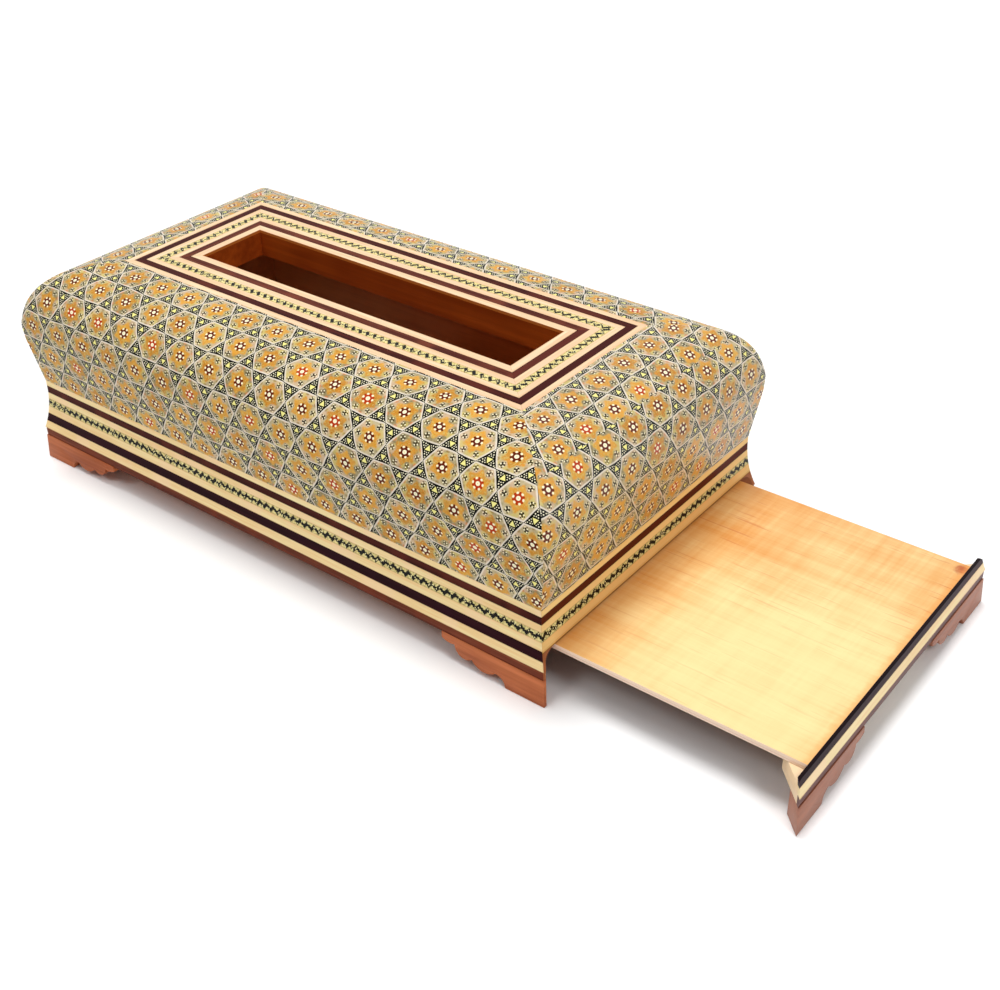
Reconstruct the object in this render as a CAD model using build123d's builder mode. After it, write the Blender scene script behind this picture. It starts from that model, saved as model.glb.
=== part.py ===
from build123d import *
from math import acos, asin, atan2, cos, degrees, hypot, radians, sin, sqrt
import os

# Tissue box with a drawer: a bellied wooden box dressed in khatam inlay, with a slot
# in the top for the tissues, and a tray with its own skirt front that slides out of
# the right end.
# X runs along the box and the drawer slides out towards +X. The front, -Y, is a long side.
# Heights are above the table. "Outset" is the distance outwards from the waist, where
# the box is narrowest above its base band.

# ---- driving sizes, millimetres ----
waist_length = 260.7
waist_width = 134.6
top_height = 88.7
glue_line = 0.05              # between the mitred lengths of one strip

# inlay and timber
inlay = 1.2                   # thickness of the khatam sheets and of every strip
wall_at_waist = 5.5           # waist face to the flat inner face of the walls
board_thickness = 9.7         # top board under its inlay

# the base band's strips, floor upwards
foot_height = 10.8
brown_strip = 3.8
cream_fourth = 3.3
dark_second = 3.6
cream_third = 3.3
khatam_strip = 3.6
cream_second = 3.0
dark_first = 3.2
cream_first = 2.7
ledge_outset = 3.2            # the cove's foot, where the fourth cream strip ends
ledge_lip = 0.25              # the brown strip stands back this much under the ledge

# belly above the base band
shoulder_drop = 24.7          # top down to the belly's widest line
belly_outset = 3.3
belly_share = 0.547           # 1 is one arc up from the crease, less has a straight flank first
shoulder_turn = 70.0          # degrees turned before the flatter crown takes over

# border strips round the slot, from the outside in
border_inset = 29.4           # waist face to the outer edge of the border
border_cream_outer = 2.7
border_dark_outer = 3.3
border_cream_second = 2.8
border_khatam = 3.5
border_cream_third = 3.0
border_dark_inner = 3.3
border_cream_inner = 3.4
liner_drop = 0.5              # the slot's liner shows this much below the board

# bracket feet: the lower edge is a notch and three lobes, heights are shares of the foot's
foot_lip = 0.35               # the foot stands out past the brown strip
foot_flare = 0.7              # and leans out this much more at the floor
foot_thickness = 6.7
toe_length = 16.8             # the flat that stands on the table
notch_run = 4.4
notch_share = 0.364
first_lobe_run = 10.4
first_lobe_low = 0.186
first_lobe_share = 0.44
second_lobe_run = 7.8
second_lobe_low = 0.33
second_lobe_share = 0.71
third_lobe_run = 5.8
third_lobe_low = 0.69
third_lobe_share = 0.78

# drawer and its opening
opening_rail = 0.9            # dark strip left on the end over the opening
end_wall_gap = 0.4            # drawer top to the underside of the end wall
tray_side_clearance = 0.3
tray_back_clearance = 1.5
runner_gap = 0.3              # tray to runner
front_proud = 2.0             # the closed drawer front stands out this far
mitre_clearance = 0.4
opening_radius = 3.5
front_corner_share = 0.9      # the drawer front's corner radius, as a share of the tray's thickness
core_depth = 8.9              # waist end to the inner face of the drawer front's core
runner_width = 6.0
runner_height = 5.6
runner_end_gap = 1.4
rest_travel = 92.5            # how far the drawer stands open at rest

# ---- sizes that follow ----
ledge_height = foot_height + brown_strip
dark_second_foot = ledge_height + cream_fourth
cream_third_foot = dark_second_foot + dark_second
khatam_foot = cream_third_foot + cream_third
cream_second_foot = khatam_foot + khatam_strip
dark_first_foot = cream_second_foot + cream_second
cove_top = dark_first_foot + dark_first
crease_height = cove_top + cream_first
board_top = top_height - inlay
board_foot = board_top - board_thickness
opening_top = cream_third_foot - opening_rail
tray_foot = dark_second_foot
tray_top = opening_top - end_wall_gap
border_width = (border_cream_outer + border_dark_outer + border_cream_second + border_khatam
                + border_cream_third + border_dark_inner + border_cream_inner)
slot_inset = border_inset + border_width
brown_outset = ledge_outset - ledge_lip
foot_outset_top = brown_outset + foot_lip
foot_outset_floor = foot_outset_top + foot_flare
half_length = waist_length / 2
half_width = waist_width / 2
inner_half_width = half_width - wall_at_waist
inner_half_length = half_length - wall_at_waist

# the origin is under the middle of the whole object, with the drawer at rest
drawer_shift = front_proud + rest_travel
box_x = -drawer_shift / 2

# plan: the mitre lines run at 45 degrees from two points on the middle line to the corners
apex = half_length - half_width
reach = half_width + foot_outset_floor + foot_thickness
half_glue = glue_line / sqrt(2)
pocket_tip = box_x + apex + front_proud - mitre_clearance * sqrt(2)

# the cove: an arc that leaves the waist upright and ends at the ledge
cove_drop = cove_top - ledge_height
cove_radius = (cove_drop**2 + ledge_outset**2) / (2 * ledge_outset)

# the belly's arc ends at its widest line
belly_height = top_height - shoulder_drop
belly_rise = belly_height - crease_height
belly_radius = belly_share * (belly_rise**2 + belly_outset**2) / (2 * belly_outset)
belly_centre = (belly_outset - belly_radius, belly_height)

# shoulder and crown: two arcs, tangent to each other, from the widest line to the border
turn_cos = cos(radians(shoulder_turn))
turn_sin = sin(radians(shoulder_turn))
curve_run = belly_outset + border_inset
curve_share = 1 - turn_cos - turn_sin
shoulder_radius = (curve_run * (1 - turn_sin) - shoulder_drop * turn_cos) / curve_share
crown_radius = (shoulder_drop * (1 - turn_cos) - curve_run * turn_sin) / curve_share
shoulder_centre = (belly_outset - shoulder_radius, belly_height)
crown_centre = (-border_inset, top_height - crown_radius)
board_turn = degrees(asin((board_foot - belly_height) / (shoulder_radius - inlay)))

all_round = ("front", "back", "left", "right")
three_sides = ("front", "back", "left")
outwards = {"front": (0, -1, 0), "back": (0, 1, 0), "left": (-1, 0, 0), "right": (1, 0, 0)}
along = {"front": (-1, 0, 0), "back": (1, 0, 0), "left": (0, 1, 0), "right": (0, -1, 0)}

os.makedirs("parts", exist_ok=True)


def save(part, name):
    part.label = name
    export_step(part, f"parts/{name}.step")


def save_lengths(lengths, name):
    """Several separate lengths of one strip, as one node."""
    with BuildPart() as strip:
        for length in lengths:
            add(length)
    save(strip.part, name)


# ---- the outside profile, as (outset, height) points at a depth under the surface ----
def cove_point(height, depth=0.0):
    drop = cove_top - height
    return (cove_radius - sqrt((cove_radius + depth) ** 2 - drop**2), height)


def cove(foot, head):
    ThreePointArc(cove_point(foot), cove_point((foot + head) / 2), cove_point(head))


def arc_between(centre, radius, first, last):
    """Draw an arc between two angles, and return its ends."""
    points = []
    for angle in (first, (first + last) / 2, last):
        turn = radians(angle)
        points.append((centre[0] + radius * cos(turn), centre[1] + radius * sin(turn)))
    ThreePointArc(*points)
    return points[0], points[2]


def flank(depth):
    """The crease up to the widest line: a straight flank and a large arc."""
    radius = belly_radius - depth
    run = -depth - belly_centre[0]
    turn = atan2(-belly_rise, run) + acos(radius / hypot(run, belly_rise))
    start, end = arc_between(belly_centre, radius, degrees(turn), 0)
    Line((-depth, crease_height), start)


# ---- the four sides: a plane beyond one end of the run, whose X is outwards and Y is up ----
def side_plane(side, shift=0.0):
    way = outwards[side]
    run = along[side]
    origin = (box_x + shift + half_length * way[0] - waist_length * run[0],
              half_width * way[1] - waist_length * run[1], 0)
    return Plane(origin=origin, x_dir=way, z_dir=run)


def long_side_outline(way, past=0.0):
    """Plan between the two mitre lines of a long side, or on past the right one."""
    left = box_x - apex + half_glue
    right = box_x + apex - half_glue + past
    Polyline((left, 0), (right, 0), (right + reach, way * reach), (left - reach, way * reach), close=True)


def end_outline(tip, way):
    """Plan between the two mitre lines of an end."""
    Polyline((tip, 0), (tip + way * reach, -reach), (tip + way * reach, reach), close=True)


# the room that the drawer's front slides out of, with rounded upper corners
with BuildPart() as drawer_room:
    with BuildSketch(Plane.XY.offset(-foot_height)):
        with BuildLine():
            end_outline(pocket_tip, 1)
        make_face()
    extrude(amount=foot_height + opening_top)
    upper_edges = drawer_room.edges().group_by(Axis.Z)[-1]
    fillet(upper_edges.filter_by(Axis.Y, reverse=True), radius=opening_radius)

# the right end's own outline, which the side skirts keep within below the opening
with BuildPart() as skirt_limit:
    with BuildSketch(side_plane("right")):
        with BuildLine():
            past_left_end = -waist_length - reach
            end_back = (past_left_end, 0)
            Polyline(end_back, (foot_outset_floor, 0), (foot_outset_top, foot_height),
                     (brown_outset, foot_height), (brown_outset, ledge_height), cove_point(ledge_height))
            cove(ledge_height, opening_top)
            Polyline(cove_point(opening_top), (past_left_end, opening_top), end_back)
        make_face()
    extrude(amount=2 * waist_length, dir=along["right"])

# what each side may fill: a long side is mitred to the end wall above the opening, and
# below it the skirt runs to the corner and is clear of the drawer's front
envelopes = {}
for side in ("front", "back"):
    with BuildPart() as envelope:
        with BuildSketch():
            with BuildLine():
                long_side_outline(outwards[side][1], past=reach)
            make_face()
        extrude(amount=opening_top)
        add(skirt_limit.part, mode=Mode.INTERSECT)
        add(drawer_room.part, mode=Mode.SUBTRACT)
        with BuildSketch(Plane.XY.offset(opening_top)):
            with BuildLine():
                long_side_outline(outwards[side][1])
            make_face()
        extrude(amount=top_height)
    envelopes[side] = envelope.part
for side, way, shift in (("left", -1, 0), ("right", 1, 0), ("drawer", 1, drawer_shift)):
    with BuildPart() as envelope:
        with BuildSketch(Plane.XY.offset(-foot_height)):
            with BuildLine():
                end_outline(box_x + shift + way * (apex + half_glue), way)
            make_face()
        extrude(amount=foot_height + 2 * top_height)
    envelopes[side] = envelope.part


def side_length(side, section):
    """One side's length of a section, mitred at its ends."""
    run = "right" if side == "drawer" else side
    with BuildPart() as length:
        extrude(section, amount=2 * waist_length, dir=along[run])
        add(envelopes[side], mode=Mode.INTERSECT)
    return length.part


# ---- walls: bellied outside, flat inside, and the right end one stops over the drawer ----
# behind the coved strips they have one flat seat for each strip
joint_heights = (ledge_height, dark_second_foot, cream_third_foot, khatam_foot, cream_second_foot,
                 dark_first_foot, cove_top)
for side in all_round:
    with BuildSketch(side_plane(side)) as wall_section:
        with BuildLine():
            if side == "right":
                wall_foot = opening_top
                cove_foot = opening_top
                Line((-wall_at_waist, wall_foot), cove_point(cove_foot, inlay))
            else:
                wall_foot = foot_height
                cove_foot = ledge_height
                brown_back = brown_outset - inlay
                Polyline((-wall_at_waist, wall_foot), (brown_back, wall_foot),
                         (brown_back, cove_foot), cove_point(cove_foot, inlay))
            seats = [height for height in joint_heights if height > cove_foot]
            Polyline(*[cove_point(height, inlay) for height in (cove_foot, *seats)])
            Line((-inlay, cove_top), (-inlay, crease_height))
            flank(inlay)
            start, end = arc_between(shoulder_centre, shoulder_radius - inlay, 0, board_turn)
            Polyline(end, (-wall_at_waist, board_foot), (-wall_at_waist, wall_foot))
        make_face()
    name = f"{side}_wall" if side in ("front", "back") else f"{side}_end_wall"
    save(side_length(side, wall_section.sketch), name)

# ---- top board: shouldered all round, with the slot through it ----
across = Plane(origin=(box_x, 0, 0), x_dir=(0, 1, 0), z_dir=(1, 0, 0))
lengthwise = Plane(origin=(box_x, 0, 0), x_dir=(1, 0, 0), z_dir=(0, -1, 0))
slot_half_length = half_length - slot_inset
slot_half_width = half_width - slot_inset
with BuildPart() as top_panel:
    for plane, half, mode in ((across, half_width, Mode.ADD), (lengthwise, half_length, Mode.INTERSECT)):
        with BuildSketch(plane):
            with BuildLine():
                shoulder_place = (half + shoulder_centre[0], shoulder_centre[1])
                crown_place = (half + crown_centre[0], crown_centre[1])
                lip, knee = arc_between(shoulder_place, shoulder_radius - inlay, board_turn, shoulder_turn)
                knee, top = arc_between(crown_place, crown_radius - inlay, shoulder_turn, 90)
                Line((0, board_foot), lip)
                Line(top, (0, board_top))
                mirror(about=Plane.YZ)
            make_face()
        extrude(amount=waist_length, both=True, mode=mode)
    with BuildSketch(Plane.XY.offset(board_foot)):
        with Locations((box_x, 0)):
            Rectangle(2 * (slot_half_length + inlay), 2 * (slot_half_width + inlay))
    extrude(amount=2 * board_thickness, mode=Mode.SUBTRACT)
save(top_panel.part, "top_panel")

# ---- slot liner: four thin strips on the board's cut edge ----
for side in all_round:
    with BuildSketch(side_plane(side)) as liner_section:
        with Locations((-slot_inset, board_foot - liner_drop)):
            Rectangle(inlay, board_thickness + liner_drop, align=(Align.MIN, Align.MIN))
    save(side_length(side, liner_section.sketch), f"slot_liner_{side}")

# ---- khatam sheets over the belly, from the base band's crease to the border ----
for side in all_round:
    with BuildSketch(side_plane(side)) as sheet_section:
        with BuildLine():
            for depth in (0, inlay):
                flank(depth)
                arc_between(shoulder_centre, shoulder_radius - depth, 0, shoulder_turn)
                arc_between(crown_centre, crown_radius - depth, shoulder_turn, 90)
            Line((0, crease_height), (-inlay, crease_height))
            Line((-border_inset, top_height), (-border_inset, board_top))
        make_face()
    name = f"khatam_{side}" if side in ("front", "back") else f"khatam_{side}_end"
    save(side_length(side, sheet_section.sketch), name)

# ---- border strips, laid flat on the board round the slot ----
border_strips = (
    ("border_cream_outer", border_cream_outer),
    ("border_dark_outer", border_dark_outer),
    ("border_cream_second", border_cream_second),
    ("border_khatam", border_khatam),
    ("border_cream_third", border_cream_third),
    ("border_dark_inner", border_dark_inner),
    ("border_cream_inner", border_cream_inner),
)
inset = border_inset
for name, width in border_strips:
    inset += width
    lengths = []
    for side in all_round:
        with BuildSketch(side_plane(side)) as strip_section:
            with Locations((-inset, board_top)):
                Rectangle(width, inlay, align=(Align.MIN, Align.MIN))
        lengths.append(side_length(side, strip_section.sketch))
    save_lengths(lengths, name)


# ---- base band strips ----
def coved_section(side, foot, head, shift=0.0):
    """A strip whose face follows the cove between two heights, with a flat back."""
    with BuildSketch(side_plane(side, shift)) as strip:
        with BuildLine():
            cove(foot, head)
            Polyline(cove_point(foot), cove_point(foot, inlay), cove_point(head, inlay), cove_point(head))
        make_face()
    return strip.sketch


def upright_section(side, foot, head, outset, shift=0.0):
    """A strip with an upright face."""
    with BuildSketch(side_plane(side, shift)) as strip:
        with Locations((outset - inlay, foot)):
            Rectangle(inlay, head - foot, align=(Align.MIN, Align.MIN))
    return strip.sketch


lengths = [side_length(s, upright_section(s, cove_top, crease_height, 0)) for s in all_round]
save_lengths(lengths, "base_cream_first")

coved_strips = (
    ("base_dark_first", dark_first_foot, cove_top, all_round),
    ("base_cream_second", cream_second_foot, dark_first_foot, all_round),
    ("base_khatam", khatam_foot, cream_second_foot, all_round),
    ("base_cream_third", cream_third_foot, khatam_foot, all_round),
    ("base_cream_fourth", ledge_height, dark_second_foot, three_sides),
)
for name, foot, head, sides in coved_strips:
    save_lengths([side_length(s, coved_section(s, foot, head)) for s in sides], name)

# over the opening only the rail of the second dark strip is left
lengths = [side_length(s, coved_section(s, dark_second_foot, cream_third_foot)) for s in three_sides]
rail_foot = opening_top + glue_line
lengths.append(side_length("right", coved_section("right", rail_foot, cream_third_foot)))
save_lengths(lengths, "base_dark_second")

lengths = [side_length(s, upright_section(s, foot_height, ledge_height, brown_outset)) for s in three_sides]
save_lengths(lengths, "base_brown")


# ---- bracket feet: a slab that leans out, cut to the scroll and mitred at the corner ----
def foot_section(side, shift):
    inner = foot_outset_floor - foot_thickness
    with BuildSketch(side_plane(side, shift)) as slab:
        with BuildLine():
            Polyline((inner, 0), (foot_outset_floor, 0), (foot_outset_top, foot_height),
                     (inner, foot_height), close=True)
        make_face()
    return slab.sketch


def scroll(plane):
    """The foot seen square on: X runs from the corner along the side, Y is up."""
    notch_head = (toe_length + notch_run, notch_share * foot_height)
    bend = cos(radians(45))
    notch_middle = (notch_head[0] - notch_run * bend, notch_head[1] * bend)
    with BuildSketch(plane) as outline:
        with BuildLine():
            Line((0, 0), (toe_length, 0))
            ThreePointArc((toe_length, 0), notch_middle, notch_head)
            here = notch_head
            for run, low, share in (
                (first_lobe_run, first_lobe_low, first_lobe_share),
                (second_lobe_run, second_lobe_low, second_lobe_share),
                (third_lobe_run, third_lobe_low, third_lobe_share),
            ):
                there = (here[0] + run, share * foot_height)
                ThreePointArc(here, (here[0] + run / 2, low * foot_height), there)
                here = there
            Polyline(here, (here[0], foot_height), (0, foot_height), (0, 0))
        make_face()
    return outline.sketch


def bracket_foot(side, corner, envelope, shift=0.0):
    """corner is the end of that side at which the foot stands, -1 or 1 along X or Y."""
    if side in ("front", "back"):
        origin = (box_x + corner * (half_length + foot_outset_floor), -corner * waist_length, 0)
        plane = Plane(origin=origin, x_dir=(-corner, 0, 0), z_dir=(0, corner, 0))
    else:
        origin = (box_x + shift + corner * waist_length, corner * (half_width + foot_outset_floor), 0)
        plane = Plane(origin=origin, x_dir=(0, -corner, 0), z_dir=(-corner, 0, 0))
    slab = foot_section(side, shift)
    outline = scroll(plane)
    with BuildPart() as foot:
        extrude(slab, amount=2 * waist_length, dir=along[side])
        add(envelopes[envelope], mode=Mode.INTERSECT)
        extrude(outline, amount=2 * waist_length, dir=plane.z_dir, mode=Mode.INTERSECT)
    return foot.part


for side, corner in (("front", -1), ("back", 1)):
    save(bracket_foot(side, -1, side), f"foot_{side}_left_side")
    save(bracket_foot("left", corner, "left"), f"foot_{side}_left_end")
    save(bracket_foot(side, 1, side), f"foot_{side}_right_side")
    save(bracket_foot("right", corner, "drawer", drawer_shift), f"drawer_foot_{side}")

# ---- runners on the long walls, just under the tray ----
runner_left = box_x - inner_half_length
runner_right = box_x + half_length + front_proud - core_depth - runner_end_gap
for side, inwards in (("front", Align.MIN), ("back", Align.MAX)):
    with BuildPart() as runner:
        with BuildSketch(Plane.XY.offset(tray_foot - runner_gap)):
            with Locations((runner_left, outwards[side][1] * inner_half_width)):
                Rectangle(runner_right - runner_left, runner_width, align=(Align.MIN, inwards))
        extrude(amount=-runner_height)
    save(runner.part, f"runner_{side}")

# ---- drawer front: the right end's skirt, out by the travel, on a core of light wood ----
with BuildSketch(side_plane("right", drawer_shift)) as core_section:
    with BuildLine():
        brown_back = brown_outset - inlay
        Polyline(cove_point(tray_foot, inlay), (-core_depth, tray_foot), (-core_depth, foot_height),
                 (brown_back, foot_height), (brown_back, ledge_height), cove_point(ledge_height, inlay),
                 cove_point(tray_foot, inlay))
    make_face()
save(side_length("drawer", core_section.sketch), "drawer_front_core")

cream_section = coved_section("right", ledge_height, dark_second_foot, drawer_shift)
save(side_length("drawer", cream_section), "drawer_front_cream")

brown_section = upright_section("right", foot_height, ledge_height, brown_outset, drawer_shift)
save(side_length("drawer", brown_section), "drawer_front_brown")

# the dark strip ends level with the tray, and its upper corners are rounded
dark_section = coved_section("right", tray_foot, tray_top, drawer_shift)
with BuildPart() as dark_strip:
    extrude(dark_section, amount=2 * waist_length, dir=along["right"])
    add(envelopes["drawer"], mode=Mode.INTERSECT)
    with BuildSketch(Plane.YZ) as front_outline:
        with Locations((0, tray_top)):
            widest = half_width + cove_point(tray_foot)[0]
            Rectangle(2 * widest, 2 * tray_top, align=(Align.CENTER, Align.MAX))
        corners = front_outline.vertices().group_by(Axis.Y)[-1]
        fillet(corners, radius=front_corner_share * (tray_top - tray_foot))
    extrude(amount=waist_length, both=True, mode=Mode.INTERSECT)
save(dark_strip.part, "drawer_front_dark")

# ---- tray: it butts against the back of the dark strip and lies on the core ----
tray_back = inner_half_length - tray_back_clearance + half_length + front_proud
tray_half_width = inner_half_width - tray_side_clearance
with BuildPart() as drawer_tray:
    with BuildSketch(side_plane("right", drawer_shift)):
        with BuildLine():
            Polyline(cove_point(tray_top, inlay), (-tray_back, tray_top), (-tray_back, tray_foot),
                     cove_point(tray_foot, inlay), cove_point(tray_top, inlay))
        make_face()
    extrude(amount=2 * waist_length)
    with BuildSketch(Plane.XY):
        Rectangle(4 * waist_length, 2 * tray_half_width)
    extrude(amount=top_height, mode=Mode.INTERSECT)
save(drawer_tray.part, "drawer_tray")
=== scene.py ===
import math

import bmesh
import bpy
from mathutils import Matrix, Vector


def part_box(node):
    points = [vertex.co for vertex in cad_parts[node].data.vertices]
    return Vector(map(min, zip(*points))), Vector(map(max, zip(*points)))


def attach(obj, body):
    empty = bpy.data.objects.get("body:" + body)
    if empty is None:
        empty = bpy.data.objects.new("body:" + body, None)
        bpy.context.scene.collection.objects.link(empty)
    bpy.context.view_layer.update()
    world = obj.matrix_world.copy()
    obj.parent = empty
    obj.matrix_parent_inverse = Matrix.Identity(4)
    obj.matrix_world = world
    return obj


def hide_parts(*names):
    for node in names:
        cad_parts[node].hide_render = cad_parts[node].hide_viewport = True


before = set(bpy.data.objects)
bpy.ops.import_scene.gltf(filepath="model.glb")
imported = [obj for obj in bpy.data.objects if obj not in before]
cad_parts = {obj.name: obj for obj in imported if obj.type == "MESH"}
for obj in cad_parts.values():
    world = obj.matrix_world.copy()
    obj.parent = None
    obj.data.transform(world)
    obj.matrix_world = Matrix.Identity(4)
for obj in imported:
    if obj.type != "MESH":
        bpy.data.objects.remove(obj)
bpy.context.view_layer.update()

# ---- Table, light and camera ----
# The box stands on a white table in a plain white room: a broad soft lamp overhead, and
# a weaker one at either side. The camera looks down on the box's right front corner.
view_forward = Vector((-0.518861, 0.646311, -0.559522)).normalized()
view_right = view_forward.cross(Vector((0, 0, 1))).normalized()
view_up = view_right.cross(view_forward)
view_roll = math.radians(-1.343)
turned_right = math.cos(view_roll) * view_right + math.sin(view_roll) * view_up
turned_up = -math.sin(view_roll) * view_right + math.cos(view_roll) * view_up
camera_data = bpy.data.cameras.new("camera")
camera_data.sensor_width = 36
camera_data.lens = 50.23
camera = bpy.data.objects.new("camera", camera_data)
bpy.context.scene.collection.objects.link(camera)
camera.matrix_world = Matrix.Translation((0.29550, -0.35197, 0.32298)) @ Matrix(
    (turned_right, turned_up, -view_forward)).transposed().to_4x4()
bpy.context.scene.camera = camera
bpy.context.scene.view_settings.view_transform = "Standard"


class Value:
    """A number or colour among a material's nodes, so that shader sums read as sums."""

    def __init__(self, tree, socket=None):
        self.tree = tree
        self.socket = socket

    def node(self, kind, settings, given, output=0):
        """A new node with its settings made and its inputs given, as one of its outputs."""
        made = self.tree.nodes.new("ShaderNode" + kind)
        for name, setting in settings.items():
            setattr(made, name, setting)
        for name, value in given.items():
            if isinstance(value, Value):
                self.tree.links.new(value.socket, made.inputs[name])
            else:
                made.inputs[name].default_value = value
        return Value(self.tree, made.outputs[output])

    def math(self, operation, *others):
        return self.node("Math", {"operation": operation}, dict(enumerate((self,) + others)))

    def __add__(self, other):
        return self.math("ADD", other)

    def __sub__(self, other):
        return self.math("SUBTRACT", other)

    def __rsub__(self, other):
        return self.node("Math", {"operation": "SUBTRACT"}, {0: other, 1: self})

    def __mul__(self, other):
        return self.math("MULTIPLY", other)

    def __truediv__(self, other):
        return self.math("DIVIDE", other)

    def __gt__(self, other):
        return self.math("GREATER_THAN", other)

    def __lt__(self, other):
        return self.math("LESS_THAN", other)

    def __abs__(self):
        return self.math("ABSOLUTE")

    __radd__ = __add__
    __rmul__ = __mul__

    def floor(self):
        return self.math("FLOOR")

    def root(self):
        return self.math("SQRT")

    def least(self, other):
        return self.math("MINIMUM", other)

    def most(self, other):
        return self.math("MAXIMUM", other)

    def fade(self, low, high):
        """0 at low and 1 at high, eased between."""
        smooth = {"interpolation_type": "SMOOTHSTEP"}
        return self.node("MapRange", smooth, {0: self, 1: low, 2: high})

    def parts(self):
        first = self.node("SeparateXYZ", {}, {0: self})
        return [Value(self.tree, socket) for socket in first.socket.node.outputs]

    def blend(self, first, second):
        """The second colour where this is 1, and the first where it is 0."""
        return self.node("Mix", {"data_type": "RGBA"}, {0: self, 6: first, 7: second}, 2)

    def vector(self, x, y, z=0.0):
        return self.node("CombineXYZ", {}, {0: x, 1: y, 2: z})

    def noise(self, scale, detail=2.0, stretch=(1, 1, 1)):
        spread = self.node("VectorMath", {"operation": "MULTIPLY"}, {0: self, 1: stretch})
        return self.node("TexNoise", {}, {"Vector": spread, "Scale": scale, "Detail": detail})

    def chance(self, output=0):
        """A number from 0 to 1 that is the same all over one cell."""
        return self.node("TexWhiteNoise", {"noise_dimensions": "3D"}, {"Vector": self}, output)

    def feed(self, **sockets):
        """Gives the material's shader these values, with _ in a socket's name for a space."""
        shader = self.tree.nodes["Principled BSDF"]
        for name, value in sockets.items():
            socket = shader.inputs[name.replace("_", " ")]
            if isinstance(value, Value):
                self.tree.links.new(value.socket, socket)
            else:
                socket.default_value = value

    def relief(self, height, strength):
        """Bump, with the height in metres."""
        bump = self.node("Bump", {}, {"Height": height, "Distance": 1.0, "Strength": strength})
        self.feed(Normal=bump)


def linear(part):
    """The light that one part of a colour stands for."""
    return ((part / 255 + 0.055) / 1.055) ** 2.4 if part > 10 else part / 3295


def seen(red, green, blue):
    """A colour as it is seen, each part from 0 to 255."""
    return linear(red), linear(green), linear(blue), 1


def new_finish(name):
    """A new material, and its place in the object's own metres."""
    made = bpy.data.materials.new(name)
    made.use_nodes = True
    tree = made.node_tree
    return made, Value(tree).node("TexCoord", {}, {}, 3)


table_size = 6.0
table_drop = 0.0001  # so that the feet's soles and the table don't share one plane
bpy.ops.mesh.primitive_plane_add(size=table_size, location=(0, 0, -table_drop))
table = bpy.context.object
table.name = "table"
table_white, place = new_finish("table_white")
place.feed(Base_Color=seen(252, 252, 252), Roughness=0.9, Specular_IOR_Level=0.0)
table.data.materials.append(table_white)

level_glow = 0.04
climbing_glow = 0.48
room = bpy.data.worlds.new("room")
bpy.context.scene.world = room
room.use_nodes = True
sky = Value(room.node_tree)
path = sky.node("LightPath", {}, {}).socket.node
seen_directly = Value(room.node_tree, path.outputs["Is Camera Ray"]).most(
    Value(room.node_tree, path.outputs["Is Glossy Ray"])).most(
    Value(room.node_tree, path.outputs["Is Transmission Ray"]))
climb = abs(sky.node("NewGeometry", {}, {}, 4).parts()[2])
softened = level_glow + climb * climbing_glow
strength = softened + seen_directly * (1 - softened)
background = room.node_tree.nodes["Background"]
background.inputs[0].default_value = seen(255, 255, 255)
room.node_tree.links.new(strength.socket, background.inputs[1])

for name, spot, power, spread, shines in (
    ("ceiling_light", (-0.16, 0.06, 1.0), 1.9, 22, False),
    ("left_window", (-0.25, -1.0, 1.4), 0.36, 18, False),
    ("right_window", (1.0, -0.25, 1.2), 0.75, 22, True),
):
    lamp_data = bpy.data.lights.new(name, "SUN")
    lamp_data.energy = power
    lamp_data.angle = math.radians(spread)
    lamp = bpy.data.objects.new(name, lamp_data)
    bpy.context.scene.collection.objects.link(lamp)
    lamp.visible_glossy = shines
    lamp.location = spot
    lamp.rotation_euler = Vector(spot).to_track_quat("Z", "Y").to_euler()

# ---- Box carcass ----
# Four shaped walls, a thick top board and the two drawer runners, of a plain reddish
# wood that only shows inside the box and from below. Beside the drawer the sawn ends of
# the skirts are veneered.
box_low, box_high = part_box("base_cream_first")
box_x = (box_low.x + box_high.x) / 2
half_length = (box_high.x - box_low.x) / 2
half_width = (box_high.y - box_low.y) / 2
apex = half_length - half_width
opening_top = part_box("right_end_wall")[0].z
end_veneer = seen(172, 102, 62)
end_veneer_depth = 0.001
hairline = 0.0001
fibre_squeeze = 0.04


def grain(place, along, scale, detail=4.0):
    """Noise drawn out along X, Y or Z into fibres."""
    stretch = [1.0, 1.0, 1.0]
    stretch[along] = fibre_squeeze
    return place.noise(scale, detail, stretch)


def dress(name, wood):
    """Gives a CAD piece its material."""
    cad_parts[name].data.materials.clear()
    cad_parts[name].data.materials.append(wood)


def planks(name, dark, pale, along=0, scale=300, gloss=0.5, shine=0.15, veneered_end=False):
    """Plain wood whose grain runs along X, Y or Z."""
    made, place = new_finish(name)
    fibre = grain(place, along, scale)
    pores = grain(place, along, scale * 4, 2.0)
    bands = grain(place, along, scale / 7, 3.0)
    clouds = place.noise(32, 2.0)
    tone = (fibre * 0.4 + bands * 0.5 + clouds * 0.35).fade(0.35, 0.9)
    colour = tone.blend(dark, pale)
    colour = (pores.fade(0.6, 0.72) * 0.35).blend(colour, dark)
    if veneered_end:
        x, y, z = place.parts()
        at_end = x > box_x + half_length - end_veneer_depth
        colour = (at_end * (z < opening_top + hairline)).blend(colour, end_veneer)
    place.feed(Base_Color=colour, Roughness=gloss + fibre * 0.15, Specular_IOR_Level=shine)
    place.relief(fibre * 0.0001 + pores * 0.00003, 0.4)
    return made


carcass_wood = planks("carcass_wood", seen(166, 92, 48), seen(216, 136, 76), veneered_end=True)
for name in ("front_wall", "back_wall", "left_end_wall", "right_end_wall", "top_panel",
             "runner_front", "runner_back"):
    dress(name, carcass_wood)

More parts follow.
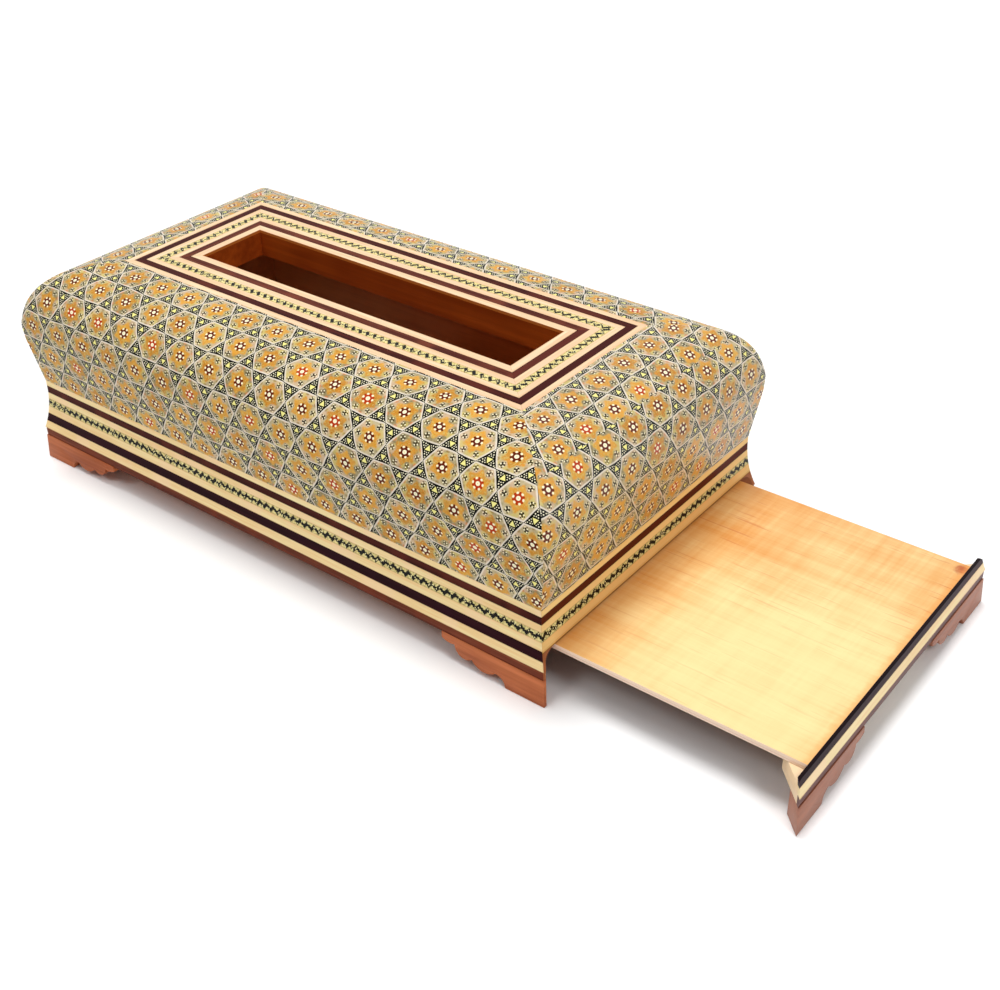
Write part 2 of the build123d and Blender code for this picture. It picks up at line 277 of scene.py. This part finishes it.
# ---- Slot liner ----
# Thin red-brown strips glued to the cut edge of the slot, with a clear varnish.
liner_wood = planks(
    "liner_wood", seen(132, 46, 8), seen(198, 92, 26), scale=420, gloss=0.35, shine=0.2)
for side in ("front", "back", "left", "right"):
    dress(f"slot_liner_{side}", liner_wood)

# ---- Khatam sheets ----
# Inlay veneer of wood, bone and metal rods cut across: hexagons of ochre flowers on bone,
# with dotted black triangles between. Four sheets are bent over the belly and mitred,
# and the shoulders' corners are sanded round.
crease_height = 0.0373
top_height = 0.0887
belly_height = 0.0640
belly_outset = 0.0033
border_inset = 0.0294
belly_bend = 0.547  # of the radius of an arc upright at the belly's widest
belly_rise = belly_height - crease_height
belly_radius = belly_bend * (belly_rise**2 + belly_outset**2) / (2 * belly_outset)
shoulder_turn = math.radians(70)
curve_run = belly_outset + border_inset
curve_rise = top_height - belly_height
turn_cos = math.cos(shoulder_turn)
turn_sin = math.sin(shoulder_turn)
shoulder_radius = (curve_run * (1 - turn_sin) - curve_rise * turn_cos) / (1 - turn_cos - turn_sin)
crown_radius = (curve_rise * (1 - turn_cos) - curve_run * turn_sin) / (1 - turn_cos - turn_sin)


def belly_profile(steps):
    """Outset and height of the belly from its crease to the border, steps to each arc."""
    centre = belly_outset - belly_radius
    tangent = math.atan2(-belly_rise, -centre)
    tangent += math.acos(belly_radius / math.hypot(-centre, belly_rise))
    points = [(0.0, crease_height)]
    for step in range(steps + 1):
        turn = tangent * (1 - step / steps)
        points.append((centre + belly_radius * math.cos(turn),
                       belly_height + belly_radius * math.sin(turn)))
    for step in range(1, 2 * steps + 1):
        turn = shoulder_turn * step / (2 * steps)
        points.append((belly_outset - shoulder_radius + shoulder_radius * math.cos(turn),
                       belly_height + shoulder_radius * math.sin(turn)))
    for step in range(1, steps + 1):
        turn = shoulder_turn + (math.pi / 2 - shoulder_turn) * step / steps
        points.append((-border_inset + crown_radius * math.cos(turn),
                       top_height - crown_radius + crown_radius * math.sin(turn)))
    return points


# a flat rectangle at the crease, its corners given near neighbours, is drawn up the profile
corner_reach = 0.009
coarse_steps = 5
fine_steps = 24
bpy.ops.object.select_all(action="DESELECT")
bpy.ops.mesh.primitive_plane_add(size=1, calc_uvs=False, location=(box_x, 0, crease_height))
belly = bpy.context.object
belly.scale = (2 * half_length, 2 * half_width, 1)
bpy.ops.object.transform_apply(location=True, rotation=True, scale=True)
bpy.ops.object.mode_set(mode="EDIT")
bpy.ops.mesh.delete(type="ONLY_FACE")
bpy.ops.mesh.select_all(action="SELECT")
bpy.ops.mesh.bevel(offset=corner_reach, segments=4, profile=1.0, affect="VERTICES")
levels = belly_profile(coarse_steps)
for (outset, height), (next_outset, next_height) in zip(levels, levels[1:]):
    bpy.ops.mesh.extrude_edges_move(TRANSFORM_OT_translate={"value": (0, 0, next_height - height)})
    bpy.ops.transform.resize(
        value=((half_length + next_outset) / (half_length + outset),
               (half_width + next_outset) / (half_width + outset), 1),
        center_override=(box_x, 0, next_height))
bpy.ops.mesh.select_all(action="SELECT")
bpy.ops.mesh.normals_make_consistent(inside=False)
bpy.ops.object.mode_set(mode="OBJECT")


def outset_of(point):
    """How far out of the waist a point lies."""
    return max(abs(point.x - box_x) - apex, abs(point.y)) - half_width


def share(value, none, all_of_it):
    """0 at none and 1 at all_of_it, straight between."""
    return min(max((value - none) / (all_of_it - none), 0), 1)


# the mitres are sharp low down and again by the border, and round on the shoulders
round_height, sharp_height = 0.071, 0.059
round_outset, sharp_outset = -0.022, -0.028
mitre_reach = 0.0002
level_rise = 0.00001
crease = belly.data.attributes.new("crease_edge", "FLOAT", "EDGE")
for edge in belly.data.edges:
    ends = [belly.data.vertices[v].co for v in edge.vertices]
    on_mitre = all(abs(abs(p.x - box_x) - apex - abs(p.y)) < mitre_reach for p in ends)
    if on_mitre and abs(ends[0].z - ends[1].z) > level_rise:
        middle = (ends[0].z + ends[1].z) / 2
        outset = (outset_of(ends[0]) + outset_of(ends[1])) / 2
        low_down = share(middle, round_height, sharp_height)
        by_border = share(outset, round_outset, sharp_outset)
        crease.data[edge.index].value = max(low_down, by_border)
smoothing = belly.modifiers.new("smooth", "SUBSURF")
smoothing.levels = smoothing.render_levels = 2
bpy.context.view_layer.objects.active = belly
bpy.ops.object.modifier_apply(modifier="smooth")

# the khatam pattern follows the sheet: X along the side and Y up the bend
fine = belly_profile(fine_steps)
run_up = [0.0]
for first, second in zip(fine, fine[1:]):
    run_up.append(run_up[-1] + math.dist(first, second))


def height_up(point):
    """How far up the bend of its sheet a point lies."""
    here = Vector((outset_of(point), point.z))
    best = min(range(len(fine) - 1),
               key=lambda i: math.dist(here, fine[i]) + math.dist(here, fine[i + 1]))
    start, end = Vector(fine[best]), Vector(fine[best + 1])
    step = end - start
    return run_up[best] + (here - start).dot(step) / step.length


ups = [height_up(v.co) for v in belly.data.vertices]
laid = belly.data.uv_layers.new(name="laid")
sheet_of_face = []
for face in belly.data.polygons:
    on_end = abs(face.center.x - box_x) - apex > abs(face.center.y)
    if on_end:
        sheet = 3 if face.center.x > box_x else 2
    else:
        sheet = 0 if face.center.y < 0 else 1
    sheet_of_face.append(sheet)
    for loop in face.loop_indices:
        vertex = belly.data.loops[loop].vertex_index
        point = belly.data.vertices[vertex].co
        along = point.y if on_end else point.x
        laid.data[loop].uv = (along, ups[vertex])

flower_pitch = 0.0159
flower_row = 0.01245
waver = 0.0026
khatam_stock = {
    "bone": seen(200, 184, 144), "bone_dull": seen(138, 124, 86), "pink": seen(216, 184, 152),
    "straw": seen(214, 194, 112), "ochre": seen(224, 162, 58), "ochre_deep": seen(184, 120, 32),
    "amber": seen(228, 142, 50), "maroon": seen(96, 26, 8), "red": seen(178, 54, 18),
    "cream": seen(255, 248, 212), "black": seen(8, 8, 4), "brass": seen(244, 236, 146),
    "olive": seen(150, 116, 44), "rust": seen(206, 126, 68), "ivory": seen(236, 226, 210),
}
# rods in a twelfth of a flower, in flower widths: along it, off it and the radius, and
# then how soft the rim is and how broad the rod is for its length, where these differ
arm_rods = ((0.369, 0, 0.030, 0.006, 0.66), (0.314, 0.036, 0.0245, 0.006), (0.333, 0, 0.021),
            (0.388, 0.046, 0.0165), (0.268, 0.0, 0.015))
bead_rods = ((0.352, 0.045, 0.0155), (0.291, 0, 0.0155), (0.412, 0.0, 0.013))
stud_rods = ((0.5, 0.092, 0.015), (0.467, 0.152, 0.015), (0.5, 0.196, 0.0125),
             (0.449, 0.205, 0.0125), (0.5, 0.046, 0.012))


def khatam_finish(name, shift, shine, seam=None, seam_shift=(0, 0)):
    """The flower pattern, moved along and up its sheet to where the rods were laid."""
    made, place = new_finish(name)
    laid_x, laid_y = place.node("TexCoord", {}, {}, 2).parts()[:2]
    wobble = place.noise(55, 2.0)
    sway = place.noise(48, 2.0, (1, -1, 1.3))
    along = laid_x - shift[0] + (wobble - 0.5) * waver
    up = laid_y - shift[1] + (sway - 0.5) * waver
    if seam:
        over = laid_y > seam
        along = along + over * seam_shift[0]
        up = up + over * seam_shift[1]
    # each flower's own corner of a triangle lattice, in flower widths
    sine_sixty = math.sqrt(0.75)
    deep = math.sqrt(3)
    x = along / flower_pitch
    y = up * (sine_sixty / flower_row)
    first_x = x - (x + 0.5).floor()
    first_y = y - (y / deep + 0.5).floor() * deep
    second_x = x - 0.5 - x.floor()
    second_y = y - deep / 2 - (y / deep).floor() * deep
    second = (second_x * second_x + second_y * second_y) < (first_x * first_x + first_y * first_y)
    near_x = first_x + second * (second_x - first_x)
    near_y = first_y + second * (second_y - first_y)
    column = ((x - near_x) * 2 + 0.5).floor()
    row = ((y - near_y) / sine_sixty + 0.5).floor()
    flower = place.vector(column, row, shift[0])
    luck, second_luck, third_luck = flower.chance(1).parts()
    # folded into one twelfth of a flower
    fold_x = abs(near_x)
    fold_y = abs(near_y)
    over_sixty = (fold_y * 0.5 - fold_x * sine_sixty).most(0)
    fold_x = fold_x + over_sixty * deep
    fold_y = fold_y - over_sixty
    over_thirty = (fold_y * sine_sixty - fold_x * 0.5).most(0)
    fold_x = fold_x + over_thirty
    fold_y = fold_y - over_thirty * deep
    radius = (fold_x * fold_x + fold_y * fold_y).root()

    def dot(centre_x, centre_y, size, soft=0.005, wide=1.0):
        """1 on a rod and 0 off it."""
        off_x = fold_x - centre_x
        off_y = (fold_y - centre_y) / wide
        return (off_x * off_x + off_y * off_y).root().fade(size + soft, size - soft)

    def dots(first, *others):
        """1 on any of these rods."""
        covered = dot(*first)
        for other in others:
            covered = covered.most(dot(*other))
        return covered

    # the bone ground, mottled, and the ochre flower on it
    stock = khatam_stock
    rods = place.noise(1300, 2.0)
    mottle = place.noise(700, 3.0)
    patch = place.noise(230, 2.0)
    second_patch = place.noise(250, 2.0, (-1, 1, 1))
    frayed = radius + (rods - 0.5) * 0.07
    colour = (mottle * 0.9 + luck * 0.3).fade(0.35, 0.85).blend(stock["bone_dull"], stock["bone"])
    colour = (patch.fade(0.5, 0.6) * 0.7).blend(colour, stock["pink"])
    colour = (second_patch.fade(0.52, 0.62) * 0.7).blend(colour, stock["straw"])
    petal = dot(0.332, 0, 0.098, 0.02)
    edge_patch = dot(0.352, 0.203, 0.05, 0.025)
    edge_shade = (luck > 0.6).blend(stock["rust"], stock["olive"])
    colour = (edge_patch * (second_luck > 0.35) * (rods + 0.3)).blend(colour, edge_shade)
    depth = (second_patch * 0.9 + second_luck * 0.4).fade(0.4, 1.0)
    ochre = depth.blend(stock["ochre"], stock["ochre_deep"])
    ochre = (rods.fade(0.54, 0.64) * 0.5).blend(ochre, stock["amber"])
    ochre = (rods.fade(0.46, 0.38) * 0.55).blend(ochre, stock["straw"])
    flower_mask = frayed.fade(0.30, 0.26).most(dot(0.238, 0.137, 0.046, 0.03)) * (1 - petal)
    colour = (flower_mask * (0.6 + mottle * 0.6)).least(1).blend(colour, ochre)
    # six black crosses with cream beads, round a red ring of cream rods
    arms = dots(*arm_rods)
    colour = (arms * (luck * 0.25 + 0.75)).blend(colour, stock["black"])
    beads = dots(*bead_rods)
    colour = beads.blend(colour, stock["cream"])
    ring_red = (third_luck > 0.84).blend(stock["maroon"], stock["red"])
    ring = radius.fade(0.106, 0.096).most(dot(0.1039, 0.060, 0.029))
    colour = ring.blend(colour, ring_red)
    colour = dot(0.121, 0, 0.0255, 0.006, 1.12).blend(colour, stock["cream"])
    colour = radius.fade(0.056, 0.046).blend(colour, stock["cream"])
    colour = dot(0, 0, 0.012, 0.008).blend(colour, stock["straw"])
    # the hexagon's pale outline, and the studded black triangles with their brass hearts
    edge = (fold_x * sine_sixty + fold_y * 0.5) * 0.93 + radius * 0.07 - 0.4345
    colour = (edge.fade(-0.054, -0.016) * (0.55 + patch * 0.55)).least(1).blend(colour, stock["ivory"])
    ground = edge.fade(-0.003, 0.003)
    colour = ground.blend(colour, stock["black"])
    heart = fold_y.fade(0.241, 0.250)
    studs = dots(*stud_rods)
    colour = (studs * ground).blend(colour, stock["cream"])
    colour = (heart * ground).blend(colour, stock["brass"])
    place.feed(Base_Color=colour, Roughness=0.25 + mottle * 0.15, Specular_IOR_Level=shine)
    ripple = place.noise(38, 2.0)
    place.relief(ripple * 0.0010 + mottle * 0.00002, 0.35)
    return made


# each sheet, where its pattern starts along and up it, its shine, and how high its joint
# is and how far the pattern steps there
sheet_thickness = 0.0012
sheets = (
    ("khatam_front", (0.0658, 0.0035), 0.05, None, (0, 0)),
    ("khatam_back", (0.0031, 0.0021), 0.05, None, (0, 0)),
    ("khatam_left_end", (0.0052, 0.0015), 0.05, None, (0, 0)),
    ("khatam_right_end", (-0.03585, 0.00685), 0.3, 0.0485, (-0.00645, 0.00415)),
)
for number, (name, shift, shine, seam, seam_shift) in enumerate(sheets):
    sheet = belly.copy()
    sheet.data = belly.data.copy()
    bpy.context.scene.collection.objects.link(sheet)
    sheet.name = name + "_sheet"
    shell = bmesh.new()
    shell.from_mesh(sheet.data)
    shell.faces.ensure_lookup_table()
    others = [face for face, owner in zip(shell.faces, sheet_of_face) if owner != number]
    bmesh.ops.delete(shell, geom=others, context="FACES")
    shell.to_mesh(sheet.data)
    shell.free()
    thick = sheet.modifiers.new("thick", "SOLIDIFY")
    thick.thickness = sheet_thickness
    thick.offset = -1
    bpy.ops.object.select_all(action="DESELECT")
    sheet.select_set(True)
    bpy.context.view_layer.objects.active = sheet
    bpy.ops.object.modifier_apply(modifier="thick")
    bpy.ops.object.shade_smooth_by_angle(angle=math.radians(40))
    sheet.data.materials.clear()
    sheet.data.materials.append(khatam_finish(name, shift, shine, seam, seam_shift))
    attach(sheet, "box")
    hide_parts(name)
bpy.data.objects.remove(belly)

# ---- Inlay strips ----
# Long thin strips of pale and dark wood, mitred at the corners: seven round the slot,
# and eight in the base band. One strip of each set is fine khatam.
border_widths = {
    "border_cream_outer": 0.0027, "border_dark_outer": 0.0033, "border_cream_second": 0.0028,
    "border_khatam": 0.0035, "border_cream_third": 0.0030, "border_dark_inner": 0.0033,
    "border_cream_inner": 0.0034,
}
# the veneer's edge at the drawer's opening, darkened with painted shade over the gap below
lip_brown_and_shade = seen(128, 66, 28)
lip_height = 0.0009
inner_lip = 0.0004


def strip_place(place, shift=0.0):
    """How far out of the waist and along its side a point lies, how high, and on which side."""
    x, y, z = place.parts()
    from_middle = x - (box_x + shift)
    end_reach = abs(from_middle) - apex
    on_end = end_reach > abs(y)
    outset = end_reach.most(abs(y)) - half_width
    along = from_middle + on_end * (y - from_middle)
    return outset, along, z, on_end, on_end * (from_middle > 0)


def strip_reach(name, upright):
    """Where a strip begins and ends, in height or in outset."""
    low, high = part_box(name)
    if upright:
        return low.z, high.z
    outer = high.y - half_width
    return outer - border_widths[name], outer


def strip_finish(name, upright, dark, pale, stain, edge, edge_depth, end_tint=None, shine=0.03,
                 shift=0.0, gloss=0.4, lit_inner_side=None):
    """Wood with its grain along the strip, another colour at its glued edges."""
    made, place = new_finish(name)
    outset, along, z, on_end, on_right = strip_place(place, shift)
    foot, head = strip_reach(name, upright)
    across = ((z if upright else outset) - foot) / (head - foot)
    own_board = on_end * 0.3 + on_right * 0.2
    board = place.vector(across * (head - foot) + foot * 7, along * 0.03, own_board)
    fibre = board.noise(1500, 3.0)
    bands = board.noise(380, 2.0)
    clouds = place.vector(across * 0.001, along, foot * 9).noise(62, 2.0)
    tone = (fibre * 0.45 + bands * 0.55).fade(0.35, 0.7)
    colour = tone.blend(dark, pale)
    colour = (clouds.fade(0.5, 0.64) * 0.6).blend(colour, stain)
    if end_tint:
        colour = (on_right * 0.75).blend(colour, end_tint)
    rim = abs(across - 0.5) * 2
    colour = (rim.fade(0.72, 0.98) * edge_depth).blend(colour, edge)
    if upright and not shift:
        # the right end is pale down to the drawer's opening, and the sawn ends of the
        # skirts beside the drawer have a veneer of their own
        if foot < opening_top:
            # a brown line fades in along the opening's top edge: the veneer's edge, with painted shade
            # over the gap below
            lip = z.fade(opening_top + lip_height, opening_top)
            colour = on_right.blend(colour, lip.blend(end_tint or pale, lip_brown_and_shade))
        colour = (on_right * (z < opening_top + hairline)).blend(colour, end_veneer)
    if lit_inner_side:
        # the slot's liner is let in flush, so the strip's cut edge there is veneered too
        # that edge lies in shade, and its orange is brighter than the liner wood: painted light
        facing = place.node("NewGeometry", {}, {}, 1).parts()[2]
        colour = (facing.fade(0.8, 0.6) * (outset < foot + inner_lip)).blend(colour, lit_inner_side)
    place.feed(Base_Color=colour, Roughness=gloss, Specular_IOR_Level=shine)
    place.relief(fibre * 0.00003, 0.3)
    return made


tooth_pitch = 0.00355
tooth_rods = 8
width_rods = 7
middle_rod = 0.4286
zigzag_height = 0.52


def khatam_strip_finish(name, upright):
    """A black zigzag of square rods on straw yellow, thicker where it falls."""
    made, place = new_finish(name)
    outset, along, z, on_end = strip_place(place)[:4]
    foot, head = strip_reach(name, upright)
    across = ((z if upright else outset) - (foot + head) / 2) / (head - foot)
    teeth = along / tooth_pitch
    rod_along = (teeth * tooth_rods).floor()
    rod_across = ((across + 0.5) * width_rods).floor()
    tooth_along = rod_along / tooth_rods + 0.5 / tooth_rods
    from_tooth = tooth_along - (tooth_along + 0.5).floor()
    zigzag = (abs(from_tooth) * 2 - 0.5) * zigzag_height
    off_line = abs(rod_across / width_rods - middle_rod - zigzag)
    luck = place.vector(rod_along, rod_across, on_end).chance()
    mottle = place.noise(1500, 2.0)
    colour = mottle.fade(0.3, 0.7).blend(seen(214, 194, 120), seen(248, 234, 166))
    colour = ((luck > 0.75) * 0.45).blend(colour, seen(138, 120, 52))
    line_width = (from_tooth > 0) * 0.11 + (0.22 if upright else 0.19)
    colour = (off_line < line_width).blend(colour, seen(12, 10, 5))
    colour = ((off_line < 0.12) * (luck < 0.13)).blend(colour, seen(240, 228, 170))
    colour = (abs(across).fade(0.36, 0.47) * 0.35).blend(colour, seen(150, 126, 62))
    place.feed(Base_Color=colour, Roughness=0.35, Specular_IOR_Level=0.1)
    return made


# dark and pale parts of the grain, and the clouds in it; for edges, the colour and its depth
cream = (seen(246, 210, 150), seen(255, 236, 180), seen(255, 220, 176))
pinkish_cream = (seen(232, 192, 152), seen(250, 222, 184), seen(244, 204, 170))
cream_edge = (seen(206, 150, 96), 0.45)
dark_edge = (seen(22, 8, 8), 0.85)
plum = (seen(34, 10, 16), seen(54, 18, 26), seen(48, 14, 28))
maroon = (seen(52, 16, 12), seen(84, 32, 24), seen(98, 42, 30))
chestnut = (seen(74, 30, 22), seen(112, 56, 40), seen(124, 62, 44))
brown = (seen(92, 42, 28), seen(138, 72, 50), seen(124, 56, 36))
brown_edge = (seen(54, 18, 10), 0.85)
end_cream = seen(255, 214, 138)
end_orange = seen(255, 200, 116)
# the liner's orange made brighter, as painted light on the shaded inner edge of the slot's border
lit_slot_orange = seen(222, 128, 56)
for name, lit_lining in (
    ("border_cream_outer", None), ("border_cream_second", None), ("border_cream_third", None),
    ("border_cream_inner", lit_slot_orange),
):
    dress(name, strip_finish(name, False, *pinkish_cream, *cream_edge, lit_inner_side=lit_lining))
for name, end_tint in (
    ("base_cream_first", end_cream), ("base_cream_second", end_cream),
    ("base_cream_third", end_orange), ("base_cream_fourth", end_cream),
):
    dress(name, strip_finish(name, True, *cream, *cream_edge, end_tint))
for name, woods, end_tint in (
    ("border_dark_outer", maroon, seen(64, 22, 20)),
    ("border_dark_inner", chestnut, seen(92, 38, 30)),
    ("base_dark_first", maroon, seen(92, 34, 14)),
    ("base_dark_second", plum, end_orange),
):
    dress(name, strip_finish(name, name.startswith("base"), *woods, *dark_edge, end_tint))
dress("base_brown", strip_finish("base_brown", True, *brown, *brown_edge))
for name in ("base_khatam", "border_khatam"):
    dress(name, khatam_strip_finish(name, name.startswith("base")))

# ---- Bracket feet ----
# Scroll-sawn brackets of an orange-brown wood, glued under the skirts. The edges are
# rubbed over by hand.
foot_dark = seen(142, 66, 32)
foot_pale = seen(222, 132, 84)
foot_easing = 0.0003
foot_wood_long = planks("foot_wood_long", foot_dark, foot_pale, 0, 520, 0.45)
foot_wood_end = planks("foot_wood_end", foot_dark, foot_pale, 1, 520, 0.45)


def eased_copy(name, wood, body, width):
    """A CAD piece with its sharp edges rubbed down."""
    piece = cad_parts[name].copy()
    piece.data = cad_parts[name].data.copy()
    piece.name = name + "_eased"
    bpy.context.scene.collection.objects.link(piece)
    bpy.ops.object.select_all(action="DESELECT")
    piece.select_set(True)
    bpy.context.view_layer.objects.active = piece
    bpy.ops.object.mode_set(mode="EDIT")
    bpy.ops.mesh.select_all(action="SELECT")
    bpy.ops.mesh.remove_doubles(threshold=0.00001)
    bpy.ops.mesh.customdata_custom_splitnormals_clear()
    bpy.ops.mesh.dissolve_limited(angle_limit=math.radians(1))
    bpy.ops.object.mode_set(mode="OBJECT")
    rub = piece.modifiers.new("rub", "BEVEL")
    rub.width = width
    rub.segments = 2
    rub.limit_method = "ANGLE"
    rub.angle_limit = math.radians(40)
    bpy.ops.object.modifier_apply(modifier="rub")
    bpy.ops.object.shade_smooth_by_angle(angle=math.radians(35))
    piece.data.materials.clear()
    piece.data.materials.append(wood)
    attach(piece, body)
    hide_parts(name)


for name in ("foot_front_left_side", "foot_back_left_side", "foot_front_right_side",
             "foot_back_right_side"):
    eased_copy(name, foot_wood_long, "box", foot_easing)
for name in ("foot_front_left_end", "foot_back_left_end"):
    eased_copy(name, foot_wood_end, "box", foot_easing)

# ---- Drawer tray ----
# Thin varnished plywood: orange by the box and towards the back, pale in front, with a
# stain at the far front corner, glue along the front bar and bare ply at the edges.
tray_easing = 0.0002
middle_ply = 0.0009
tray_low, tray_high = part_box("drawer_tray")
tray_wood, place = new_finish("tray_wood")
x, y, z = place.parts()
box_end = box_x + half_length
out_of_box = (x + (place.noise(40, 2.0) - 0.5) * 0.03).fade(box_end - 0.02, box_end + 0.05)
to_back = (y + (place.noise(26, 2.0, (1, -1, 1)) - 0.5) * 0.05).fade(-0.022, 0.05)
to_front_bar = x.fade(tray_high.x - 0.014, tray_high.x)
fibre = grain(place, 0, 420)
bands = grain(place, 0, 110, 3.0)
figure = place.noise(120, 3.0, (1, 0.22, 1))
ripples = place.noise(520, 2.0, (1, 0.05, 1))
streaks = place.noise(900, 3.0, (0.05, 1, 1))
paleness = out_of_box * (1.02 - to_back * 0.55) - to_front_bar * 0.2
paleness = paleness + (bands - 0.5) * (0.35 + to_back * 0.35)
paleness = paleness + (fibre - 0.5) * 0.5 + (figure - 0.5) * 0.4
paleness = paleness + (ripples - 0.5) * (0.3 + to_back * 0.2) + (streaks - 0.5) * 0.25
colour = paleness.fade(-0.25, 1.25).blend(seen(224, 146, 66), seen(250, 224, 162))
line_depth = 0.16 + to_back * to_front_bar * 0.4 + to_back * 0.25 + (1 - out_of_box) * 0.2
lines = streaks.fade(0.58, 0.7) * line_depth
colour = lines.blend(colour, seen(206, 112, 50))
stain_x = x - (tray_high.x - 0.0022)
stain_y = y - (tray_high.y - 0.0035)
stain_off = (stain_x * stain_x * 1.5 + stain_y * stain_y).root() + (place.noise(600) - 0.5) * 0.004
colour = (stain_off.fade(0.0042, 0.0012) * 0.85).blend(colour, seen(178, 74, 30))
glue_x = x + (place.noise(300) - 0.5) * 0.003
glue = glue_x.fade(tray_high.x - 0.0035, tray_high.x - 0.0008)
colour = (glue * 0.5).blend(colour, seen(238, 160, 84))
facing = place.node("NewGeometry", {}, {}, 1).parts()[2]
edge = facing.fade(0.75, 0.35)
ply = abs(z - (tray_low.z + middle_ply)).fade(0.0003, 0.0001)
ply_edge = (ply * 0.4).blend(seen(248, 220, 196), seen(214, 168, 138))
colour = edge.blend(colour, ply_edge)
# the underside, unseen from the camera, is dark brown as painted shade: it keeps bounced light out of
# the shadow under the drawer
shade_dark_underside = (bands * 0.6 + fibre * 0.4).blend(seen(72, 40, 22), seen(138, 86, 54))
colour = facing.fade(-0.35, -0.75).blend(colour, shade_dark_underside)
place.feed(Base_Color=colour, Roughness=0.38 + fibre * 0.1, Specular_IOR_Level=0.2)
place.relief(fibre * 0.00006 + bands * 0.0001, 0.3)
eased_copy("drawer_tray", tray_wood, "drawer", tray_easing)

# ---- Drawer front ----
# A bar of light wood under the tray's end, faced with the base band's lower strips,
# on two bracket feet of its own. Its varnish is glossier than the box's.
drawer_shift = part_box("drawer_front_brown")[1].x - (box_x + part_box("base_brown")[1].y + apex)
drawer_plum = (seen(38, 16, 24), seen(62, 34, 42), seen(58, 26, 38))
drawer_plum_edge = (seen(8, 3, 5), 0.8)
drawer_brown = (seen(80, 36, 32), seen(116, 62, 52), seen(108, 52, 42))
drawer_brown_edge = (seen(44, 16, 14), 0.8)
core_wood = planks("core_wood", seen(240, 204, 156), seen(255, 234, 206), 1, 300, 0.5)
eased_copy("drawer_front_core", core_wood, "drawer", foot_easing)
for name, woods, rim, shine in (
    ("drawer_front_dark", drawer_plum, drawer_plum_edge, 0.07),
    ("drawer_front_cream", cream, cream_edge, 0.3),
    ("drawer_front_brown", drawer_brown, drawer_brown_edge, 0.08),
):
    dress(name, strip_finish(name, True, *woods, *rim, shine=shine, shift=drawer_shift, gloss=0.3))
drawer_foot_wood = planks(
    "drawer_foot_wood", seen(128, 70, 44), seen(176, 108, 76), 1, 520, 0.35, 0.5)
for name in ("drawer_foot_front", "drawer_foot_back"):
    eased_copy(name, drawer_foot_wood, "drawer", foot_easing)
